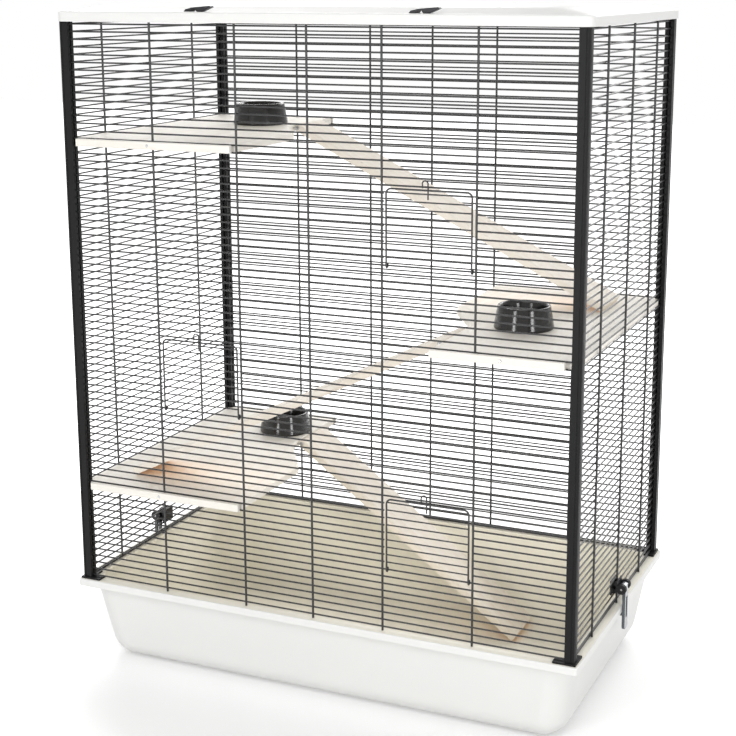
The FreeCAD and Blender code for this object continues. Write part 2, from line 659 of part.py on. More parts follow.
def make_latch(name, east):
    """Slide latch: pointed end, bow and raised end on the lid, leg in its slot, toe under the top wire."""
    body = new_body(name)
    half = "latch_length / 2"
    tip = f"(latch_tip - {half})"
    block = f"(latch_tip + latch_arch - {half})"
    under = "latch_low - latch_bow"
    bow = new_sketch(body, "bow_profile", "XZ_Plane")
    add_polygon(bow, [
        (f"-({half})", "0"), (f"-({half}) + latch_tip / 4", "latch_low * 0.6"), (tip, "latch_low"),
        (f"{half} - latch_bow", "latch_high"), (half, "latch_high - latch_bow"),
        (f"{block} + latch_leg", "0"), (block, "0"),
        (f"{block} - latch_bow", under), (f"{tip} + latch_bow", under), (tip, "0"),
    ])
    pad(body, bow, "latch_depth", "bow", both=True)
    toe_top = "(lid_under + top_wire_up - wire_clear - lid_border - part_gap)"
    left = "latch_leg_x - latch_leg / 2"
    right = "latch_leg_x + latch_leg / 2"
    front = "latch_leg_y - latch_y"
    back = "latch_leg_y - latch_y + latch_leg_thick"
    slab(body, "leg", left, right, front, back, f"{toe_top} - latch_toe", f"latch_toe - {toe_top} + part_gap")
    slab(body, "toe", left, right, "latch_leg_y - latch_y - latch_leg_thick", back,
         f"{toe_top} - latch_toe", "latch_toe")
    body.Placement = FreeCAD.Placement(
        V(east * size("latch_place"), size("latch_y"), size("lid_border") + size("part_gap")), turned(0))


def make_board(name, place):
    """Shelf board drawn from the side wall inwards, its wide part at the front."""
    body = new_body(name)
    outline = new_sketch(body, "outline", "XY_Plane", "-shelf_thick / 2")
    end = "shelf_half"
    notched = "shelf_half - shelf_notch"
    add_polygon(outline, [
        ("shelf_notch", f"-{end}"), ("shelf_wide", f"-{end}"), ("shelf_wide", "-shelf_turn_wide"),
        ("shelf_narrow", "shelf_turn_narrow"), ("shelf_narrow", end), ("shelf_notch", end),
        ("shelf_notch", notched), ("0", notched), ("0", f"-({notched})"), ("shelf_notch", f"-({notched})"),
    ])
    pad(body, outline, "shelf_thick", "board")
    turns = [V(size("shelf_wide"), -size("shelf_turn_wide"), 0),
             V(size("shelf_narrow"), size("shelf_turn_narrow"), 0)]

    def at_turn(edge):
        return along(edge, Z_AXIS) and min((edge.CenterOfMass - turn).Length for turn in turns) < 1e-3

    fillet(body, "shelf_turn_round", "turns", at_turn)
    top = size("shelf_thick") / 2
    free = size("shelf_narrow") - 1
    fillet(body, "shelf_edge_round", "free_edge_round",
           lambda edge: level(edge, top) and edge.BoundBox.XMin > free)
    hole = "screw_diameter + hole_play"
    depth = "screw_bite + part_gap"
    drill(body, "wide_screw_hole", "XZ_Plane", end, screw_spots("shelf_wide"), hole, depth)
    drill(body, "narrow_screw_hole", "XZ_Plane", f"-{end}", screw_spots("shelf_narrow"), hole, depth,
          back=True)
    eyes = [(f"ramp_middle + {hand} * eye_shift", "0") for hand in (-1, 1)]
    drill(body, "eye_holes", "YZ_Plane", "shelf_narrow", eyes, "eye_wire + hole_play", "eye_bite + part_gap")
    body.Placement = place


def screw_spots(run):
    """Place of the one screw of a cleat, at the middle of a board end of one run."""
    return [(f"{run} / 2", "0")]


def make_cleat(name, run, north, place):
    body = new_body(name)
    near = f"{north} * cleat_face"
    far = f"{north} * (cleat_face + cleat_thick)"
    slab(body, "strip", "cleat_from", f"{run} - cleat_play", near, far, "-cleat_height / 2", "cleat_height")
    outer = north * (size("cleat_face") + size("cleat_thick"))
    fillet(body, "cleat_round", "edge_round",
           lambda edge: along(edge, X_AXIS) and abs(edge.CenterOfMass.y - outer) < 1e-3)
    drill(body, "screw_hole", "XZ_Plane", f"-({far})", screw_spots(run), "screw_diameter + hole_play",
          "cleat_thick", back=north > 0)
    body.Placement = place


def make_screws(name, place):
    """Two cleat screws of one board, each a shank with a low head."""
    solids = []
    start = size("cleat_face") + size("cleat_thick")
    length = start - size("shelf_half") + size("screw_bite")
    for run, north in (("shelf_wide", -1), ("shelf_narrow", 1)):
        seat = V(size(run) / 2, north * start, 0)
        shank = Part.makeCylinder(size("screw_diameter") / 2, length, seat, V(0, -north, 0))
        head = Part.makeCone(size("screw_head") / 2, size("screw_head") / 3, size("screw_crown"), seat,
                             V(0, north, 0))
        solids.append(shank.fuse(head).removeSplitter())
    add_shape(name, solids).Placement = place


def make_eyes(name, place):
    """Two screw eyes in the free edge of a board, one on each side of the ramp."""
    ring = size("hinge_pin") / 2 + size("fit_gap") + size("eye_wire") / 2
    solids = []
    for hand in (-1, 1):
        y = size("ramp_middle") + hand * size("eye_shift")
        loop = Part.makeTorus(ring, size("eye_wire") / 2, V(size("hinge_x"), y, 0), Y_AXIS)
        shank = wire(V(size("shelf_narrow") - size("eye_bite"), y, 0), V(size("hinge_x") - ring, y, 0),
                     size("eye_wire"))
        solids.append(loop.fuse(shank).removeSplitter())
    add_shape(name, solids).Placement = place


def make_pin(name, diameter, length, centre, turn=turned(0)):
    """Round pin along Y, bound to its sizes, with its middle at a centre."""
    pin = new_piece("Part::Cylinder", name)
    bind(pin, "Radius", f"({diameter}) / 2")
    bind(pin, "Height", length)
    doc.recompute()
    lay = FreeCAD.Rotation(X_AXIS, -90)
    back = V(0, -float(pin.Height) / 2, 0)
    pin.Placement = FreeCAD.Placement(centre + turn.multVec(back), turn.multiply(lay))


def make_ramp(name, length, place):
    """Plank drawn from its hinge pin along X, with a round nose that is bored for the pin."""
    body = new_body(name)
    half = "ramp_thick / 2"
    plank = new_sketch(body, "plank_profile", "XZ_Plane")
    add_polygon(plank, [("0", f"-({half})"), (length, f"-({half})"), (length, half), ("0", half)])
    pad(body, plank, "ramp_width", "plank", both=True)
    top = size("ramp_thick") / 2
    fillet(body, "ramp_round", "edge_round",
           lambda edge: along(edge, X_AXIS) and abs(edge.CenterOfMass.z - top) < 1e-3)
    nose = new_sketch(body, "nose_circle", "XZ_Plane")
    add_circle(nose, "0", "0", "ramp_thick")
    pad(body, nose, "ramp_width - 2 * ramp_round", "nose", both=True)
    bore = new_sketch(body, "pin_circle", "XZ_Plane")
    add_circle(bore, "0", "0", "hinge_pin + hole_play")
    pocket(body, bore, "ramp_width + 2", "pin_bore", both=True)
    body.Placement = place


def ramp_tilt(length, drop):
    """Angle at which a ramp of one length comes down by drop, measured to the lower corner of its foot."""
    half = size("ramp_thick") / 2
    reach = math.hypot(length, half)
    return math.degrees(math.asin(drop / reach) - math.atan2(half, length))


def make_bowl(name, place):
    body = new_body(name)
    rim = "bowl_rim / 2"
    profile = new_sketch(body, "profile", "XZ_Plane")
    add_polygon(profile, [
        ("0", "0"), ("bowl_base / 2 - bowl_round", "0"), ("bowl_base / 2", "bowl_round"),
        (rim, "bowl_height - bowl_round"), (f"{rim} - bowl_round", "bowl_height"),
        (f"{rim} - bowl_wall", "bowl_height"), (f"{rim} - bowl_wall * 2", "bowl_height / 2"),
        (f"{rim} - bowl_wall * 4", "bowl_floor"), ("0", "bowl_floor"),
    ])
    turn = body.newObject("PartDesign::Revolution", "bowl")
    turn.Profile = profile
    turn.ReferenceAxis = (profile, ["V_Axis"])
    turn.Angle = 360
    settle(turn)
    body.Placement = place


def make_clip_bracket(name, east):
    """Bracket on the middle upright of a side wall: plates on both sides of the wire, webs, ribbed ears."""
    body = new_body(name)
    wide = "clip_half"
    tall = "clip_back_high / 2"
    near = f"{east} * clip_outside"
    far = f"{east} * (clip_outside + clip_back_thick)"
    slab(body, "outer_plate", near, far, f"-{wide}", wide, f"-{tall}", "clip_back_high")
    for row in (1, 2):
        middle = f"(bar_first + ({row} + 0.5) * bar_pitch - clip_pivot_up)"
        for hand in (-1, 1):
            slab(body, f"web_{row}{hand + 1}", f"{east} * (clip_inside - clip_back_thick / 2)",
                 f"{east} * (clip_outside + clip_back_thick / 2)", f"{hand} * clip_web_inset",
                 f"{hand} * (clip_web_inset + clip_web)", f"{middle} - clip_web / 2", "clip_web")
    near = f"{east} * clip_inside"
    far = f"{east} * (clip_inside - clip_back_thick)"
    slab(body, "inner_plate", near, far, f"-{wide}", wide, f"-{tall}", "clip_back_high")
    ribs = int(size("clip_ear_width") / size("clip_rib"))
    for hand in (-1, 1):
        for rib in range(ribs):
            slim = "" if rib % 2 == 0 else " - 2 * clip_rib_depth"
            ear = new_sketch(body, f"ear_circle_{hand + 1}{rib}", "XZ_Plane",
                             f"{-hand} * (clip_ear_from + {rib} * clip_ear_width / {ribs})")
            add_circle(ear, "0", "0", f"clip_ear{slim}")
            pad(body, ear, f"clip_ear_width / {ribs}", f"ear_{hand + 1}{rib}", back=hand > 0)
    bore = new_sketch(body, "pin_circle", "XZ_Plane")
    add_circle(bore, "0", "0", "clip_pin + hole_play")
    pocket(body, bore, "2 * clip_half + 2", "pin_bore", both=True)
    body.Placement = FreeCAD.Placement(V(east * size("clip_x"), 0, size("clip_z")), turned(0))


def make_clip_lever(name, east):
    """Lever about its pin: an open arm outside the rim with a toe that catches under the lip."""
    body = new_body(name)
    round_off = "clip_knuckle / 2"
    inner = "(clip_rim + clip_arm_gap)"
    outer = f"({inner} + clip_arm)"
    toe_top = "-(clip_pivot_up + rim_lip + clip_toe_gap)"
    toe_low = f"({toe_top} - clip_toe_high)"
    toe_tip = "(clip_rim - clip_toe)"
    end = "-(clip_pivot_up + clip_drop)"
    arm = new_sketch(body, "arm_profile", "XZ_Plane")
    loop = [
        ("0", round_off), (f"{round_off}", f"{round_off} * 0.7"), (outer, f"-({round_off})"),
        (outer, end), (inner, end),
        (inner, toe_low), (toe_tip, toe_low), (toe_tip, toe_top), (inner, toe_top),
        (inner, "clip_arm - clip_pivot_up"), ("0", f"-({round_off})"),
    ]
    add_polygon(arm, [(f"{east} * ({across})", up) for across, up in loop])
    pad(body, arm, "clip_lever_width", "arm", both=True)
    low = -size("clip_pivot_up") - size("clip_drop")
    fillet(body, "clip_end_round", "end_round",
           lambda edge: along(edge, X_AXIS) and abs(edge.CenterOfMass.z - low) < 1e-3)
    knuckle = new_sketch(body, "knuckle_circle", "XZ_Plane")
    add_circle(knuckle, "0", "0", "clip_knuckle")
    pad(body, knuckle, "clip_lever_width", "knuckle", both=True)
    bore = new_sketch(body, "pin_circle", "XZ_Plane")
    add_circle(bore, "0", "0", "clip_pin + hole_play")
    pocket(body, bore, "clip_lever_width + 2", "pin_bore", both=True)
    window = new_sketch(body, "window_outline", "YZ_Plane")
    half = "clip_window / 2"
    foot = "-(clip_window_down + clip_window_high)"
    add_polygon(window, [(f"-({half})", foot), (half, foot), (half, "-clip_window_down"),
                         (f"-({half})", "-clip_window_down")])
    pocket(body, window, "4 * clip_reach", "window", both=True)
    body.Placement = FreeCAD.Placement(V(east * size("clip_x"), 0, size("clip_z")), turned(0))


def make_shelf_unit(key, order, east, ramp_length):
    """Board with its cleats, screws and bowl, and the ramp that leaves it, placed together."""
    row = size("shelf_row_low") + order * size("shelf_row_step") + 0.5
    middle = row_height(row)
    turn = turned(0 if east < 0 else 180)
    place = FreeCAD.Placement(V(east * size("shelf_wall"), 0, middle), turn)
    make_board(f"shelf_{key}", place)
    make_cleat(f"cleat_{key}_wide", "shelf_wide", -1, place)
    make_cleat(f"cleat_{key}_narrow", "shelf_narrow", 1, place)
    make_screws(f"cleat_screws_{key}", place)
    make_eyes(f"ramp_eyes_{key}", place)
    hinge = place.multVec(V(size("hinge_x"), size("ramp_middle"), 0))
    make_pin(f"ramp_pin_{key}", "hinge_pin", "ramp_width + 2 * (eye_gap + eye_wire + hinge_over)", hinge)
    floor = size("tub_wall")
    if order > 0:
        floor = middle - size("shelf_row_step") * size("bar_pitch") + size("shelf_thick") / 2
    tilt = ramp_tilt(size(ramp_length), middle - floor - size("part_gap"))
    slope = turn.multiply(FreeCAD.Rotation(Y_AXIS, tilt))
    make_ramp(f"ramp_{key}", ramp_length, FreeCAD.Placement(hinge, slope))
    seat = place.multVec(V(size(f"bowl_{key}_x"), size(f"bowl_{key}_y"), size("shelf_thick") / 2))
    make_bowl(f"bowl_{key}", FreeCAD.Placement(seat, turned(0)))


make_tub()
for front, north in (("front", -1), ("back", 1)):
    for left, east in (("left", -1), ("right", 1)):
        make_post(f"post_{front}_{left}", east, north)
        make_post_foot(f"post_foot_{front}_{left}", east, north)
make_panel("panel_front", True, -1, with_doors=True)
make_panel("panel_back", True, 1)
make_panel("panel_left", False, -1)
make_panel("panel_right", False, 1)
for door_name, door_side, door_row in DOORS:
    make_door(door_name, door_side, door_row)
make_lid()
for left, east in (("left", -1), ("right", 1)):
    make_latch(f"lid_latch_{left}", east)
    make_clip_bracket(f"clip_bracket_{left}", east)
    make_clip_lever(f"clip_lever_{left}", east)
    make_pin(f"clip_pin_{left}", "clip_pin", "2 * clip_half", V(east * size("clip_x"), 0, size("clip_z")))
make_shelf_unit("low", 0, -1, "ramp_short")
make_shelf_unit("mid", 1, 1, "ramp_long")
make_shelf_unit("high", 2, -1, "ramp_long")
doc.recompute()

for item in doc.Objects:
    if "Invalid" in item.State or "Error" in item.State:
        raise RuntimeError(f"{item.Label}: {item.State}")

os.makedirs("parts", exist_ok=True)
for item in pieces:
    if item.Shape.isNull() or not item.Shape.isValid():
        raise RuntimeError(f"{item.Label} has no valid shape")
    item.Shape.exportStep(f"parts/{item.Label}.step")
    print(f"{item.Label}: {len(item.Shape.Solids)} solids, {item.Shape.Volume / 1000:.2f} cm3")
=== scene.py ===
import json
import math

import bmesh
import bpy
from bpy.props import FloatProperty, FloatVectorProperty, IntProperty, PointerProperty
from mathutils import Euler, Matrix, Vector


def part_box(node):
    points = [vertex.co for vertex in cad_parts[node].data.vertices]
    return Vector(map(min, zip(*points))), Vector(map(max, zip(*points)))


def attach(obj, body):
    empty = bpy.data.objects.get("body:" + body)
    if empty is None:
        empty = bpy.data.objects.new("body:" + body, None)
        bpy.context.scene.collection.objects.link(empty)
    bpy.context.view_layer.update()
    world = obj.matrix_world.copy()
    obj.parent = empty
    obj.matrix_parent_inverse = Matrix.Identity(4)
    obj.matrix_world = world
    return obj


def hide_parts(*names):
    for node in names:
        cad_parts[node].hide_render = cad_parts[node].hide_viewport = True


bl_info = {
    "name": "Wire Pet Cage",
    "version": (1, 0, 0),
    "blender": (4, 5, 0),
    "location": "View3D > Sidebar > Cage",
    "description": "Dresses the packed pet cage: tub, lid, wire walls, boards, ramps, bowls and clips",
    "category": "Object",
}

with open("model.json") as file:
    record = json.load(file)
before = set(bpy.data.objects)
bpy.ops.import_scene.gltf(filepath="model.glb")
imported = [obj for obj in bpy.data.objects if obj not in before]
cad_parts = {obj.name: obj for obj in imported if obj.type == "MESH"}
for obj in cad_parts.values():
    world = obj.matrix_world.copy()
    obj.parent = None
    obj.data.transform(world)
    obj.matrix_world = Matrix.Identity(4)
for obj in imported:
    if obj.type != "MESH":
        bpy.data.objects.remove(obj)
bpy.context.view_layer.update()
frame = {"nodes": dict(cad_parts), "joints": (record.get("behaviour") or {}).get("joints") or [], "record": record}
NODES = frame["nodes"]
BODY_OF = {node: body for body, members in frame["record"]["behaviour"]["bodies"].items() for node in members}
SLOT_OF = {part["node"]: part["material_slot"] for part in frame["record"]["subparts"]}
JOINT_OF = {joint["child"]: joint for joint in frame["joints"]}

PLASTIC_IOR = 1.5
WOOD_IOR = 1.45
BOWL_RIM_SHARE = 0.872  # radius of a bowl's rim over the radius of its foot
FOOT_FADE = 5.0  # how fast the painted warm shade under a ramp fades away from its foot
UNDERSIDE = (-0.95, -0.5)  # range of the normal's Z on a ramp's sloping underside
CAGE_MIDDLE = (0.0, 0.0, 0.55)

# Finish of each coating and moulding: its colour's property, roughness, tone change, texture scale and,
# where its edges are rubbed, how wide and how much lighter.
PLASTICS = {
    "post_black": {"colour": "post", "rough": 0.40, "tone": 0.18, "texture": 1500.0, "rub": 0.0008,
                   "rub_gain": 0.03, "Specular_IOR_Level": 0.1},
    "wire_black": {"colour": "wire", "rough": 0.34, "tone": 0.20, "texture": 2200.0,
                   "Specular_IOR_Level": 0.4},
    "bowl_black": {"colour": "bowl", "rough": 0.15, "tone": 0.12, "texture": 700.0,
                   "Specular_IOR_Level": 0.5},
    "fitting_black": {"colour": "fitting", "rough": 0.40, "tone": 0.18, "texture": 1300.0, "rub": 0.0006,
                      "rub_gain": 0.10, "Specular_IOR_Level": 0.25},
    "lever_grey": {"colour": "lever", "rough": 0.20, "tone": 0.10, "texture": 900.0, "rub": 0.0007,
                   "rub_gain": 0.12, "Coat_Weight": 0.6, "Coat_Roughness": 0.12},
}

# Finish of each wood: its colour's property, the strength of rings, fibres and streaks, and its roughness; a ramp
# also names the colour of the painted warm shade under its foot.
WOODS = {
    "board_wood": {"colour": "board", "rings": 0.35, "fibres": 0.30, "streaks": 0.10, "rough": 0.55},
    "ramp_wood": {"colour": "ramp", "rings": 0.55, "fibres": 0.45, "streaks": 0.22, "rough": 0.58,
                  "foot_shade_colour": "ramp_under"},
    "cleat_wood": {"colour": "cleat", "rings": 0.30, "fibres": 0.30, "streaks": 0.08, "rough": 0.55},
}


def colour_property(name, description, value):
    return FloatVectorProperty(name=name, description=description, default=value, size=3, min=0.0, max=1.0,
                               subtype="COLOR")


def length_property(name, description, value):
    return FloatProperty(name=name, description=description, default=value, min=0.0, precision=5,
                         subtype="DISTANCE", unit="LENGTH")


def power_property(name, description, value):
    return FloatProperty(name=name, description=description, default=value, min=0.0, unit="POWER")


class CageFinish(bpy.types.PropertyGroup):
    """Colours of the cage's materials."""

    tub_outside: colour_property("Tub and lid", "White moulded plastic", (0.73, 0.73, 0.715))
    # Tub inside: a warm tint that paints the shade and the warm bounce light from the wood inside the tub.
    tub_inside: colour_property("Tub inside", "Warmer tone inside the tub", (0.93, 0.895, 0.79))
    post: colour_property("Posts", "Satin black coating", (0.012, 0.012, 0.0125))
    wire: colour_property("Wires", "Black coating on the wire", (0.024, 0.024, 0.025))
    board: colour_property("Boards", "Pale sealed shelf boards", (0.97, 0.94, 0.875))
    ramp: colour_property("Ramps", "Planed ramp planks", (0.95, 0.89, 0.80))
    # Deep orange on a ramp's underside near its foot: painted warm shade of the gap between ramp and board.
    ramp_under: colour_property("Ramp undersides", "Rawer wood under a ramp's foot", (1.0, 0.56, 0.20))
    cleat: colour_property("Cleats", "Planed strips outside the wire", (0.76, 0.74, 0.69))
    bowl: colour_property("Bowls", "Glossy black bowls", (0.012, 0.011, 0.010))
    fitting: colour_property("Fittings", "Black latches and brackets", (0.014, 0.014, 0.016))
    lever: colour_property("Levers", "Dark grey clip levers", (0.075, 0.086, 0.096))
    steel: colour_property("Steel", "Zinc-plated pins, eyes and screws", (0.50, 0.50, 0.51))


class CageEdges(bpy.types.PropertyGroup):
    """Edge roundings that the solids leave sharp, and the bowl's form."""

    moulded: length_property("Moulded edges", "Rounding of plastic edges", 0.0006)
    planed: length_property("Planed edges", "Rounding of wooden edges", 0.0007)
    coated: length_property("Coated edges", "Rounding of the posts' edges", 0.0003)
    fitting: length_property("Fitting edges", "Rounding of latches and clips", 0.0005)
    bowl_rim: length_property("Bowl rim", "Rounding of a bowl's rim and foot", 0.0012)
    bowl_steps: IntProperty(name="Bowl steps", description="Steps round a bowl", default=72, min=24, max=128)


class CageStudio(bpy.types.PropertyGroup):
    """Camera and lamps."""

    camera_place: FloatVectorProperty(name="Camera", description="Place of the camera", size=3,
                                      default=(0.9111, -2.0556, 1.0293), subtype="TRANSLATION", unit="LENGTH")
    camera_turn: FloatVectorProperty(name="Camera turn", description="Turn of the camera", size=3,
                                     default=(math.radians(77.82), math.radians(0.10), math.radians(23.65)),
                                     subtype="EULER", unit="ROTATION")
    camera_lens: FloatProperty(name="Lens", description="Focal length on a 36 mm sensor", default=74.27,
                               min=10.0, unit="CAMERA")
    camera_shift: FloatVectorProperty(name="Shift", description="Shift of the picture's middle", size=2,
                                      default=(-0.0189, -0.0806))
    left_power: power_property("Left softbox", "Power of the upright softbox left of the camera", 20.0)
    right_power: power_property("Right softbox", "Power of the upright softbox right of the camera", 22.0)
    back_power: power_property("Back softboxes", "Power of each softbox behind the cage", 50.0)
    top_power: power_property("High softbox", "Power of the high softbox in front", 20.0)
    fill: FloatProperty(name="Fill", description="Even light from all round", default=0.57, min=0.0, max=1.0,
                        subtype="FACTOR")
    floor: colour_property("Floor", "Pale floor", (0.75, 0.75, 0.75))


def finish():
    return bpy.context.scene.cage_finish


def edges():
    return bpy.context.scene.cage_edges


def put(tree, kind, values=None, **settings):
    """Node of one kind with its settings and its unlinked inputs."""
    node = tree.nodes.new(kind)
    for name, value in settings.items():
        setattr(node, name, value)
    for name, value in (values or {}).items():
        node.inputs[name].default_value = value
    return node


def join(tree, source, target):
    tree.links.new(source, target)


def new_group(name, inputs, outputs):
    """Empty shader group with its sockets; gives the tree and its two end nodes."""
    tree = bpy.data.node_groups.new(name, "ShaderNodeTree")
    for label, kind, value in inputs:
        socket = tree.interface.new_socket(name=label, in_out="INPUT", socket_type=kind)
        socket.default_value = value
    for label, kind in outputs:
        tree.interface.new_socket(name=label, in_out="OUTPUT", socket_type=kind)
    return tree, tree.nodes.new("NodeGroupInput"), tree.nodes.new("NodeGroupOutput")


def mix_colours(tree, factor, first, second, blend="MIX"):
    """Colour output of two colours mixed by a factor; each may be a socket or a value."""
    node = tree.nodes.new("ShaderNodeMix")
    node.data_type = "RGBA"
    node.blend_type = blend
    for socket, value in ((node.inputs[0], factor), (node.inputs[6], first), (node.inputs[7], second)):
        if isinstance(value, bpy.types.NodeSocket):
            join(tree, value, socket)
        else:
            socket.default_value = value
    return node.outputs[2]


def spread(tree, source, low, high, start=0.0, end=1.0):
    """Value output that carries a source from one range to another."""
    node = put(tree, "ShaderNodeMapRange",
               {"From Min": start, "From Max": end, "To Min": low, "To Max": high})
    join(tree, source, node.inputs["Value"])
    return node.outputs["Result"]


def multiply(tree, first, second):
    node = put(tree, "ShaderNodeMath", operation="MULTIPLY")
    for socket, value in zip(node.inputs, (first, second)):
        if isinstance(value, bpy.types.NodeSocket):
            join(tree, value, socket)
        else:
            socket.default_value = value
    return node.outputs[0]


def place_of(tree):
    return tree.nodes.new("ShaderNodeTexCoord").outputs["Object"]


def noise(tree, vector, scale, detail=3.0, roughness=0.55, distortion=0.0):
    node = put(tree, "ShaderNodeTexNoise",
               {"Scale": scale, "Detail": detail, "Roughness": roughness, "Distortion": distortion})
    join(tree, vector, node.inputs["Vector"])
    return node.outputs[0]


def make_edge_group():
    """Mask of the edges that hands and tools rub: where a rounded normal leaves the true one."""
    tree, start, end = new_group(
        "Rubbed edges",
        [("Radius", "NodeSocketFloat", 0.001), ("Patch Scale", "NodeSocketFloat", 60.0)],
        [("Mask", "NodeSocketFloat")])
    soft = tree.nodes.new("ShaderNodeBevel")
    soft.samples = 4
    join(tree, start.outputs["Radius"], soft.inputs["Radius"])
    flat = tree.nodes.new("ShaderNodeNewGeometry")
    agree = put(tree, "ShaderNodeVectorMath", operation="DOT_PRODUCT")
    join(tree, soft.outputs["Normal"], agree.inputs[0])
    join(tree, flat.outputs["Normal"], agree.inputs[1])
    edge = spread(tree, agree.outputs["Value"], 1.0, 0.0, 0.72, 0.985)
    patch = put(tree, "ShaderNodeTexNoise", {"Detail": 4.0, "Roughness": 0.6})
    join(tree, place_of(tree), patch.inputs["Vector"])
    join(tree, start.outputs["Patch Scale"], patch.inputs["Scale"])
    worn = spread(tree, patch.outputs[0], 0.0, 1.0, 0.42, 0.62)
    join(tree, multiply(tree, edge, worn), end.inputs["Mask"])
    return tree


def make_skin_group():
    """Moulded or sprayed surface: slow tone changes, fine texture and faint scuffs."""
    tree, start, end = new_group(
        "Moulded skin",
        [("Texture Scale", "NodeSocketFloat", 900.0), ("Tone Scale", "NodeSocketFloat", 7.0)],
        [("Tone", "NodeSocketFloat"), ("Texture", "NodeSocketFloat"), ("Scuff", "NodeSocketFloat")])
    place = place_of(tree)
    tone = put(tree, "ShaderNodeTexNoise", {"Detail": 3.0, "Roughness": 0.5})
    join(tree, place, tone.inputs["Vector"])
    join(tree, start.outputs["Tone Scale"], tone.inputs["Scale"])
    join(tree, tone.outputs[0], end.inputs["Tone"])
    grit = put(tree, "ShaderNodeTexNoise", {"Detail": 2.0, "Roughness": 0.6})
    join(tree, place, grit.inputs["Vector"])
    join(tree, start.outputs["Texture Scale"], grit.inputs["Scale"])
    join(tree, grit.outputs[0], end.inputs["Texture"])
    stretch = put(tree, "ShaderNodeMapping", {"Scale": (14.0, 90.0, 160.0), "Rotation": (0.3, 0.2, 0.5)})
    join(tree, place, stretch.inputs["Vector"])
    scratch = noise(tree, stretch.outputs["Vector"], 1.0, 5.0, 0.65)
    join(tree, spread(tree, scratch, 0.0, 1.0, 0.60, 0.78), end.inputs["Scuff"])
    return tree


def make_grain_group():
    """Wood along X of the plank attribute: rings, fine fibres and a few darker streaks."""
    tree, start, end = new_group(
        "Wood grain",
        [("Ring Scale", "NodeSocketFloat", 14.0), ("Fibre Scale", "NodeSocketFloat", 420.0)],
        [("Rings", "NodeSocketFloat"), ("Fibres", "NodeSocketFloat"), ("Streaks", "NodeSocketFloat")])
    plank = put(tree, "ShaderNodeAttribute", attribute_name="plank")
    slow = put(tree, "ShaderNodeMapping", {"Scale": (0.10, 1.0, 0.8)})
    join(tree, plank.outputs["Vector"], slow.inputs["Vector"])
    rings = put(tree, "ShaderNodeTexWave", {"Distortion": 5.0, "Detail": 3.0, "Detail Scale": 1.4,
                                           "Detail Roughness": 0.55},
                wave_type="BANDS", bands_direction="Y", wave_profile="SAW")
    join(tree, slow.outputs["Vector"], rings.inputs["Vector"])
    join(tree, start.outputs["Ring Scale"], rings.inputs["Scale"])
    join(tree, rings.outputs[1], end.inputs["Rings"])
    fine = put(tree, "ShaderNodeMapping", {"Scale": (0.045, 1.0, 1.0)})
    join(tree, plank.outputs["Vector"], fine.inputs["Vector"])
    fibres = put(tree, "ShaderNodeTexNoise", {"Detail": 4.0, "Roughness": 0.6})
    join(tree, fine.outputs["Vector"], fibres.inputs["Vector"])
    join(tree, start.outputs["Fibre Scale"], fibres.inputs["Scale"])
    join(tree, fibres.outputs[0], end.inputs["Fibres"])
    streak = noise(tree, fine.outputs["Vector"], 55.0, 3.0, 0.5, 0.4)
    join(tree, spread(tree, streak, 0.0, 1.0, 0.55, 0.75), end.inputs["Streaks"])
    return tree


def group_node(tree, name, **values):
    node = tree.nodes.new("ShaderNodeGroup")
    node.node_tree = bpy.data.node_groups[name]
    for label, value in values.items():
        node.inputs[label.replace("_", " ")].default_value = value
    return node


def new_material(name, **constants):
    """Material with an empty principled surface; gives the material, its tree and the shader."""
    material = bpy.data.materials.new(name)
    material.use_nodes = True
    tree = material.node_tree
    shader = tree.nodes["Principled BSDF"]
    for label, value in constants.items():
        shader.inputs[label.replace("_", " ")].default_value = value
    return material, tree, shader


def lift(tree, height, shader, strength, distance):
    """Bump from a height on the shader's normal."""
    bump = put(tree, "ShaderNodeBump", {"Strength": strength, "Distance": distance})
    join(tree, height, bump.inputs["Height"])
    join(tree, bump.outputs["Normal"], shader.inputs["Normal"])


def shade(colour, factor):
    return [channel * factor for channel in colour] + [1.0]


def make_plastic(name, colour, rough, tone, texture, rub=None, rub_gain=0.0, **constants):
    """Moulded plastic or coating: tone, fine texture, scuffs and rubbed edges on one colour."""
    colour = getattr(finish(), colour)
    material, tree, shader = new_material(name, IOR=PLASTIC_IOR, **constants)
    skin = group_node(tree, "Moulded skin", Texture_Scale=texture)
    base = mix_colours(tree, skin.outputs["Tone"], shade(colour, 1.0 - tone), shade(colour, 1.0 + tone))
    if rub:
        worn = group_node(tree, "Rubbed edges", Radius=rub)
        lighter = [channel + rub_gain * (1.0 - channel) for channel in colour] + [1.0]
        base = mix_colours(tree, worn.outputs["Mask"], base, lighter)
    join(tree, base, shader.inputs["Base Color"])
    scuffed = multiply(tree, skin.outputs["Scuff"], 0.12)
    level = put(tree, "ShaderNodeMath", operation="ADD")
    join(tree, spread(tree, skin.outputs["Tone"], rough - 0.04, rough + 0.04), level.inputs[0])
    join(tree, scuffed, level.inputs[1])
    join(tree, level.outputs[0], shader.inputs["Roughness"])
    lift(tree, skin.outputs["Texture"], shader, 0.12, 0.0002)
    return material


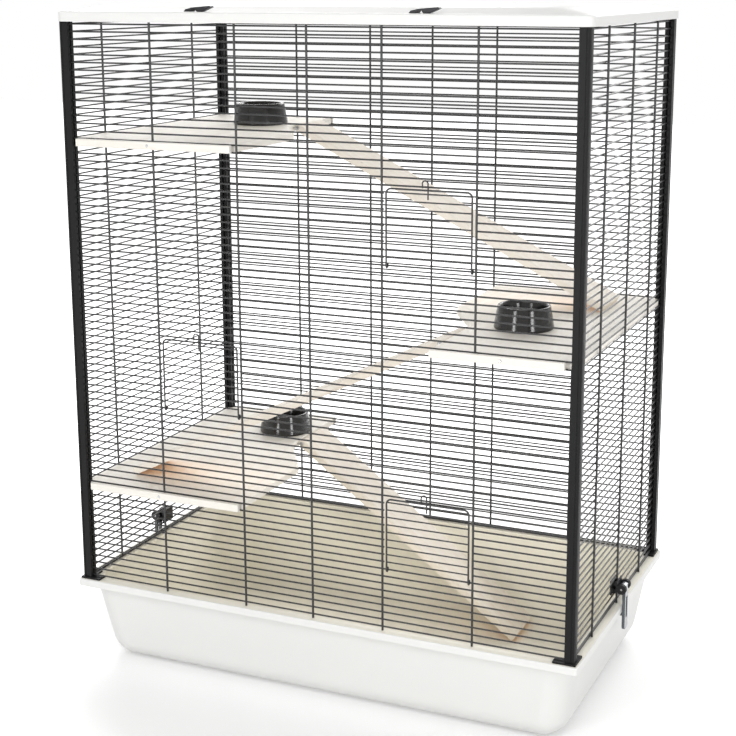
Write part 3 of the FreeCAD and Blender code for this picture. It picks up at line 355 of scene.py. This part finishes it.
def make_tub_material(name):
    """White tub plastic whose inside faces and rim ledge carry a painted warm shade."""
    material, tree, shader = new_material(name, IOR=1.46, Specular_IOR_Level=0.2, Subsurface_Weight=0.1,
                                          Subsurface_Scale=0.002)
    shader.inputs["Subsurface Radius"].default_value = (1.0, 0.95, 0.85)
    skin = group_node(tree, "Moulded skin", Texture_Scale=1100.0, Tone_Scale=5.0)
    colour = finish().tub_outside
    inside_shade_colour = finish().tub_inside
    outside = mix_colours(tree, skin.outputs["Tone"], shade(colour, 0.975), shade(colour, 1.015))
    # Inside faces get the painted warm shade; below, darker dust scuffs are mixed into it.
    inside = mix_colours(tree, skin.outputs["Tone"], shade(inside_shade_colour, 0.94), shade(inside_shade_colour, 1.06))
    shade_and_dust = mix_colours(tree, multiply(tree, skin.outputs["Scuff"], 0.25), inside, shade(inside_shade_colour, 0.8))
    side = put(tree, "ShaderNodeAttribute", attribute_name="inside")
    join(tree, mix_colours(tree, side.outputs["Fac"], outside, shade_and_dust), shader.inputs["Base Color"])
    dull = put(tree, "ShaderNodeMath", operation="MAXIMUM")
    join(tree, spread(tree, skin.outputs["Scuff"], 0.38, 0.52), dull.inputs[0])
    join(tree, multiply(tree, side.outputs["Fac"], 0.7), dull.inputs[1])
    join(tree, dull.outputs[0], shader.inputs["Roughness"])
    lift(tree, skin.outputs["Texture"], shader, 0.10, 0.0002)
    return material


def make_wood(name, colour, rings, fibres, streaks, rough, foot_shade_colour=None):
    """Pale planed wood: rings, fibres, darker streaks and handled edges, with a painted warm shade under the foot
    if given.
    """
    colour = getattr(finish(), colour)
    material, tree, shader = new_material(name, IOR=WOOD_IOR)
    grain = group_node(tree, "Wood grain")
    late = [colour[0] * 0.93, colour[1] * 0.87, colour[2] * 0.80, 1.0]
    base = mix_colours(tree, multiply(tree, grain.outputs["Rings"], rings), shade(colour, 1.03), late)
    base = mix_colours(tree, multiply(tree, grain.outputs["Fibres"], fibres), base, shade(colour, 0.90))
    base = mix_colours(tree, multiply(tree, grain.outputs["Streaks"], streaks), base,
                       [colour[0] * 0.84, colour[1] * 0.72, colour[2] * 0.58, 1.0])
    worn = group_node(tree, "Rubbed edges", Radius=0.0012)
    base = mix_colours(tree, multiply(tree, worn.outputs["Mask"], 0.35), base, shade(colour, 0.80))
    # Under a ramp's foot the wood is tinted deep orange: painted warm shade of the gap between ramp and board.
    if foot_shade_colour:
        under = put(tree, "ShaderNodeAttribute", attribute_name="underside")
        foot = put(tree, "ShaderNodeAttribute", attribute_name="foot")
        near = put(tree, "ShaderNodeMath", {1: FOOT_FADE}, operation="POWER")
        join(tree, foot.outputs["Fac"], near.inputs[0])
        shaded_foot = mix_colours(tree, 1.0, base, shade(getattr(finish(), foot_shade_colour), 1.0), "MULTIPLY")
        base = mix_colours(tree, multiply(tree, under.outputs["Fac"], near.outputs[0]), base, shaded_foot)
    join(tree, base, shader.inputs["Base Color"])
    join(tree, spread(tree, grain.outputs["Fibres"], rough - 0.06, rough + 0.08), shader.inputs["Roughness"])
    lift(tree, grain.outputs["Fibres"], shader, 0.18, 0.0003)
    return material


def make_steel(name):
    """Zinc-plated steel: fine turning marks and a few dull patches."""
    material, tree, shader = new_material(name, Metallic=1.0)
    place = place_of(tree)
    dull = noise(tree, place, 180.0, 3.0)
    colour = finish().steel
    join(tree, mix_colours(tree, dull, shade(colour, 0.85), shade(colour, 1.12)), shader.inputs["Base Color"])
    join(tree, spread(tree, dull, 0.22, 0.42), shader.inputs["Roughness"])
    lift(tree, noise(tree, place, 2400.0, 2.0), shader, 0.08, 0.0001)
    return material


def material_for(slot):
    """Material of one slot, made the first time that it is asked for."""
    name = f"{slot}_finish"
    known = bpy.data.materials.get(name)
    if known:
        return known
    if slot in PLASTICS:
        return make_plastic(name, **PLASTICS[slot])
    if slot in WOODS:
        return make_wood(name, **WOODS[slot])
    return make_tub_material(name) if slot == "tub_white" else make_steel(name)


def link_piece(name, form, node):
    """New object from a bmesh, which stands for a CAD node and takes its body and slot."""
    mesh = bpy.data.meshes.new(name)
    form.to_mesh(mesh)
    form.free()
    if "custom_normal" in mesh.attributes:
        mesh.attributes.remove(mesh.attributes["custom_normal"])
    piece = bpy.data.objects.new(name, mesh)
    bpy.context.scene.collection.objects.link(piece)
    mesh.materials.clear()
    mesh.materials.append(material_for(SLOT_OF[node]))
    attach(piece, BODY_OF[node])
    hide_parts(node)
    return piece


def clean_copy(node):
    """CAD node as a bmesh with its triangles merged and its flat faces whole."""
    form = bmesh.new()
    form.from_mesh(NODES[node].data)
    bmesh.ops.remove_doubles(form, verts=form.verts, dist=1e-5)
    bmesh.ops.dissolve_limit(form, angle_limit=math.radians(0.2), verts=form.verts, edges=form.edges,
                             use_dissolve_boundaries=False, delimit=set())
    return form


def soften(form, limit=35.0):
    """Shade every face smooth and keep the edges sharp that turn by more than a limit."""
    for face in form.faces:
        face.smooth = True
    for edge in form.edges:
        edge.smooth = edge.calc_face_angle(0.0) < math.radians(limit)


def round_edges(piece, width, limit=35.0, segments=2):
    """Small rounding on the edges that turn by more than a limit."""
    bevel = piece.modifiers.new("Rounded edges", "BEVEL")
    bevel.width = width
    bevel.segments = segments
    bevel.limit_method = "ANGLE"
    bevel.angle_limit = math.radians(limit)
    bevel.harden_normals = True


def mark_plank(form, turn):
    """Coordinates of a plank's own length, width and thickness, kept on its points for the grain."""
    layer = form.verts.layers.float_vector.new("plank")
    for point in form.verts:
        point[layer] = turn @ point.co


def mark_foot(form, hinge):
    """Share of a ramp's length from its hinge on its points, and a mark on its sloping underside, where the
    painted warm shade goes.
    """
    far = max(abs(point.co.x - hinge) for point in form.verts)
    layer = form.verts.layers.float.new("foot")
    for point in form.verts:
        point[layer] = abs(point.co.x - hinge) / far
    layer = form.faces.layers.float.new("underside")
    for face in form.faces:
        face[layer] = 1.0 if UNDERSIDE[0] < face.normal.z < UNDERSIDE[1] else 0.0


def give_material(node):
    """Material of its slot on a CAD node that stays as it is."""
    piece = NODES[node]
    if not piece.material_slots:
        piece.data.materials.append(None)
    for socket in piece.material_slots:
        socket.material = material_for(SLOT_OF[node])


class CAGE_OT_shaders(bpy.types.Operator):
    """Make the shader groups that the materials share"""

    bl_idname = "cage.shaders"
    bl_label = "Shader Groups"

    def execute(self, context):
        make_edge_group()
        make_skin_group()
        make_grain_group()
        return {"FINISHED"}


class CAGE_OT_tub(bpy.types.Operator):
    """Mould the tub and tell its inside from its outside"""

    bl_idname = "cage.tub"
    bl_label = "Tub"

    def execute(self, context):
        form = clean_copy("base_tub")
        soften(form)
        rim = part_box("base_tub")[1].z
        middle = Vector((0.0, 0.0, rim))
        # Faces inside the tub and the flat ledge on its rim are marked for the painted warm shade.
        layer = form.faces.layers.float.new("inside")
        for face in form.faces:
            spot = face.calc_center_median()
            ledge = face.normal.z > 0.99 and spot.z > rim - 0.0001
            inwards = face.normal.dot(middle - spot) > 0.0 and spot.z < rim - 0.0005
            face[layer] = 1.0 if ledge or inwards else 0.0
        piece = link_piece("tub_shell", form, "base_tub")
        round_edges(piece, edges().moulded)
        return {"FINISHED"}


class CAGE_OT_lid(bpy.types.Operator):
    """Mould the lid"""

    bl_idname = "cage.lid"
    bl_label = "Lid"

    def execute(self, context):
        form = clean_copy("lid")
        soften(form, 25.0)
        form.faces.layers.float.new("inside")  # zero all over: the lid has the outside colour
        piece = link_piece("lid_shell", form, "lid")
        round_edges(piece, edges().moulded)
        return {"FINISHED"}


class CAGE_OT_posts(bpy.types.Operator):
    """Coat the four posts and their feet"""

    bl_idname = "cage.posts"
    bl_label = "Posts"

    def execute(self, context):
        for node in sorted(NODES):
            if not node.startswith("post_"):
                continue
            form = clean_copy(node)
            soften(form)
            piece = link_piece(f"{node}_coated", form, node)
            round_edges(piece, edges().coated)
        return {"FINISHED"}


class CAGE_OT_wires(bpy.types.Operator):
    """Coat the wire walls and the doors"""

    bl_idname = "cage.wires"
    bl_label = "Wire Walls and Doors"

    def execute(self, context):
        for node in sorted(NODES):
            if node.startswith(("panel_", "door_")):
                give_material(node)
        return {"FINISHED"}


class CAGE_OT_boards(bpy.types.Operator):
    """Plane the shelf boards, their cleats and the ramps, each with its grain along its length"""

    bl_idname = "cage.boards"
    bl_label = "Boards and Ramps"

    def execute(self, context):
        for node in sorted(NODES):
            if SLOT_OF[node] not in WOODS:
                continue
            form = clean_copy(node)
            soften(form)
            mark_plank(form, self.grain(node))
            if SLOT_OF[node] == "ramp_wood":
                mark_foot(form, JOINT_OF[node]["pos_m"][0])
            piece = link_piece(f"{node}_planed", form, node)
            round_edges(piece, edges().planed)
        return {"FINISHED"}

    def grain(self, node):
        """Turn that lays the plank's length on X, with a shift by its height so that planks differ."""
        low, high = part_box(node)
        if SLOT_OF[node] == "board_wood":
            turn = Matrix.Rotation(math.radians(90), 4, "Z")
        elif SLOT_OF[node] == "ramp_wood":
            fall = math.atan2(high.z - low.z, high.x - low.x)
            hinge = Vector(JOINT_OF[node]["pos_m"])
            turn = Matrix.Rotation(fall if hinge.x < 0 else -fall, 4, "Y").inverted()
        else:
            turn = Matrix.Identity(4)
        return Matrix.Translation((high.z * 3.1, high.z * 1.7, 0.0)) @ turn


class CAGE_OT_bowls(bpy.types.Operator):
    """Turn the three glossy bowls with rolled rims"""

    bl_idname = "cage.bowls"
    bl_label = "Bowls"

    def execute(self, context):
        for node in sorted(NODES):
            if node.startswith("bowl_"):
                self.turn_bowl(node)
        return {"FINISHED"}

    def turn_bowl(self, node):
        low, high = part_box(node)
        base = (high.x - low.x) / 2
        tall = high.z - low.z
        rim = base * BOWL_RIM_SHARE
        # Radius and share of the height, from the underside's middle over the rim to the hollow's middle.
        section = [
            (0.0, 0.05), (base * 0.86, 0.05), (base * 0.90, 0.0), (base * 0.985, 0.0), (base, 0.07),
            (rim + base * 0.012, 0.93), (rim, 1.0), (rim - base * 0.075, 1.0), (rim - base * 0.12, 0.90),
            (rim - base * 0.19, 0.40), (rim - base * 0.30, 0.22), (0.0, 0.19),
        ]
        form = bmesh.new()
        points = [form.verts.new((radius, 0.0, share * tall)) for radius, share in section]
        lines = [form.edges.new(pair) for pair in zip(points, points[1:])]
        bmesh.ops.spin(form, geom=points + lines, cent=(0, 0, 0), axis=(0, 0, 1), dvec=(0, 0, 0),
                       angle=math.tau, steps=edges().bowl_steps, use_merge=True)
        bmesh.ops.remove_doubles(form, verts=form.verts, dist=1e-6)
        bmesh.ops.recalc_face_normals(form, faces=form.faces)
        rings = [edge for edge in form.edges if edge.calc_face_angle(0.0) > math.radians(16)
                 and abs(edge.verts[0].co.z - edge.verts[1].co.z) < 1e-6]
        bmesh.ops.bevel(form, geom=rings, offset=edges().bowl_rim, offset_type="OFFSET", segments=3,
                        profile=0.5, affect="EDGES", material=-1)
        soften(form, 50.0)
        seat = (low + high) / 2
        bmesh.ops.translate(form, verts=form.verts, vec=(seat.x, seat.y, low.z))
        link_piece(f"{node}_turned", form, node)


class CAGE_OT_fittings(bpy.types.Operator):
    """Finish the latches, clips, pins, eyes and screws"""

    bl_idname = "cage.fittings"
    bl_label = "Fittings"

    def execute(self, context):
        for node in sorted(NODES):
            if SLOT_OF[node] in ("fitting_black", "lever_grey"):
                form = clean_copy(node)
                soften(form)
                piece = link_piece(f"{node}_moulded", form, node)
                round_edges(piece, edges().fitting)
            elif SLOT_OF[node] == "steel":
                give_material(node)
        return {"FINISHED"}


class CAGE_OT_studio(bpy.types.Operator):
    """Set the floor, the softboxes, the even light and the camera"""

    bl_idname = "cage.studio"
    bl_label = "Studio"

    def execute(self, context):
        self.lay_floor(context)
        self.set_world(context)
        self.set_lamps(context)
        self.set_camera(context)
        context.scene.view_settings.view_transform = "Standard"
        return {"FINISHED"}

    def lay_floor(self, context):
        form = bmesh.new()
        bmesh.ops.create_grid(form, x_segments=1, y_segments=1, size=9.0)
        mesh = bpy.data.meshes.new("floor")
        form.to_mesh(mesh)
        form.free()
        floor = bpy.data.objects.new("floor", mesh)
        context.scene.collection.objects.link(floor)
        material, tree, shader = new_material("Studio floor", Roughness=0.7, Emission_Strength=1.0)
        colour = context.scene.cage_studio.floor
        place = place_of(tree)
        soft = noise(tree, place, 0.8, 2.0)
        tone = mix_colours(tree, soft, shade(colour, 0.99), shade(colour, 1.01))
        join(tree, tone, shader.inputs["Base Color"])
        away = put(tree, "ShaderNodeVectorMath", operation="LENGTH")
        join(tree, place, away.inputs[0])
        open_floor = spread(tree, away.outputs["Value"], 0.25, 1.0, 0.45, 0.95)
        glow = multiply(tree, open_floor, self.seen_rays(tree))
        join(tree, glow, shader.inputs["Emission Color"])
        mesh.materials.append(material)

    def seen_rays(self, tree):
        """One for rays that show the background: from the camera, off gloss and through clear pieces."""
        rays = tree.nodes.new("ShaderNodeLightPath")
        seen = rays.outputs["Is Camera Ray"]
        for name in ("Is Glossy Ray", "Is Transmission Ray"):
            either = put(tree, "ShaderNodeMath", operation="MAXIMUM")
            join(tree, seen, either.inputs[0])
            join(tree, rays.outputs[name], either.inputs[1])
            seen = either.outputs[0]
        return seen

    def set_world(self, context):
        world = bpy.data.worlds.new("Studio")
        context.scene.world = world
        world.use_nodes = True
        tree = world.node_tree
        even = tree.nodes["Background"]
        even.inputs["Color"].default_value = (1.0, 1.0, 1.0, 1.0)
        even.inputs["Strength"].default_value = context.scene.cage_studio.fill
        white = put(tree, "ShaderNodeBackground", {"Color": (1.0, 1.0, 1.0, 1.0), "Strength": 1.0})
        mixed = tree.nodes.new("ShaderNodeMixShader")
        join(tree, self.seen_rays(tree), mixed.inputs[0])
        join(tree, even.outputs[0], mixed.inputs[1])
        join(tree, white.outputs[0], mixed.inputs[2])
        join(tree, mixed.outputs[0], tree.nodes["World Output"].inputs["Surface"])

    def set_lamps(self, context):
        studio = context.scene.cage_studio
        # Name, degrees round from the front, distance, height, width, length and power.
        boxes = [
            ("softbox_left", -14.0, 2.7, 0.65, 0.4, 1.0, studio.left_power),
            ("softbox_right", 54.0, 2.7, 0.65, 0.4, 1.0, studio.right_power),
            ("softbox_back_left", -145.0, 2.8, 2.0, 2.0, 1.4, studio.back_power),
            ("softbox_back_right", 168.0, 2.8, 2.0, 2.0, 1.4, studio.back_power),
            ("softbox_high", 10.0, 2.4, 2.6, 1.6, 1.0, studio.top_power),
        ]
        for name, around, away, height, wide, tall, power in boxes:
            turn = math.radians(around)
            place = Vector((math.sin(turn) * away, -math.cos(turn) * away, height))
            self.add_softbox(context, name, place, Vector(CAGE_MIDDLE), wide, tall, power)

    def add_softbox(self, context, name, place, aim, wide, tall, power):
        lamp = bpy.data.lights.new(name, "AREA")
        lamp.shape = "RECTANGLE"
        lamp.size = wide
        lamp.size_y = tall
        lamp.energy = power
        holder = bpy.data.objects.new(name, lamp)
        holder.location = place
        holder.rotation_euler = (aim - place).to_track_quat("-Z", "Y").to_euler()
        holder.visible_camera = False
        context.scene.collection.objects.link(holder)

    def set_camera(self, context):
        studio = context.scene.cage_studio
        lens = bpy.data.cameras.new("camera")
        lens.lens = studio.camera_lens
        lens.sensor_width = 36.0
        lens.shift_x, lens.shift_y = studio.camera_shift
        lens.clip_end = 60.0
        holder = bpy.data.objects.new("camera", lens)
        holder.location = studio.camera_place
        holder.rotation_euler = Euler(studio.camera_turn, "XYZ")
        context.scene.collection.objects.link(holder)
        context.scene.camera = holder


PIECES = (CAGE_OT_shaders, CAGE_OT_tub, CAGE_OT_lid, CAGE_OT_posts, CAGE_OT_wires, CAGE_OT_boards,
          CAGE_OT_bowls, CAGE_OT_fittings, CAGE_OT_studio)


class CAGE_PT_panel(bpy.types.Panel):
    """Lists the cage's pieces and the values that a user may change"""

    bl_label = "Cage"
    bl_idname = "CAGE_PT_panel"
    bl_space_type = "VIEW_3D"
    bl_region_type = "UI"
    bl_category = "Cage"

    def draw(self, context):
        for operator in PIECES:
            self.layout.operator(operator.bl_idname)
        for group in ("cage_finish", "cage_edges", "cage_studio"):
            values = getattr(context.scene, group)
            box = self.layout.box()
            for name in values.__annotations__:
                box.prop(values, name)


CLASSES = (CageFinish, CageEdges, CageStudio) + PIECES + (CAGE_PT_panel,)


def register():
    for item in CLASSES:
        bpy.utils.register_class(item)
    bpy.types.Scene.cage_finish = PointerProperty(type=CageFinish)
    bpy.types.Scene.cage_edges = PointerProperty(type=CageEdges)
    bpy.types.Scene.cage_studio = PointerProperty(type=CageStudio)


def unregister():
    del bpy.types.Scene.cage_studio
    del bpy.types.Scene.cage_edges
    del bpy.types.Scene.cage_finish
    for item in reversed(CLASSES):
        bpy.utils.unregister_class(item)


def main():
    register()
    bpy.ops.cage.shaders()
    bpy.ops.cage.tub()
    bpy.ops.cage.lid()
    bpy.ops.cage.posts()
    bpy.ops.cage.wires()
    bpy.ops.cage.boards()
    bpy.ops.cage.bowls()
    bpy.ops.cage.fittings()
    bpy.ops.cage.studio()


if __name__ == "__main__":
    main()
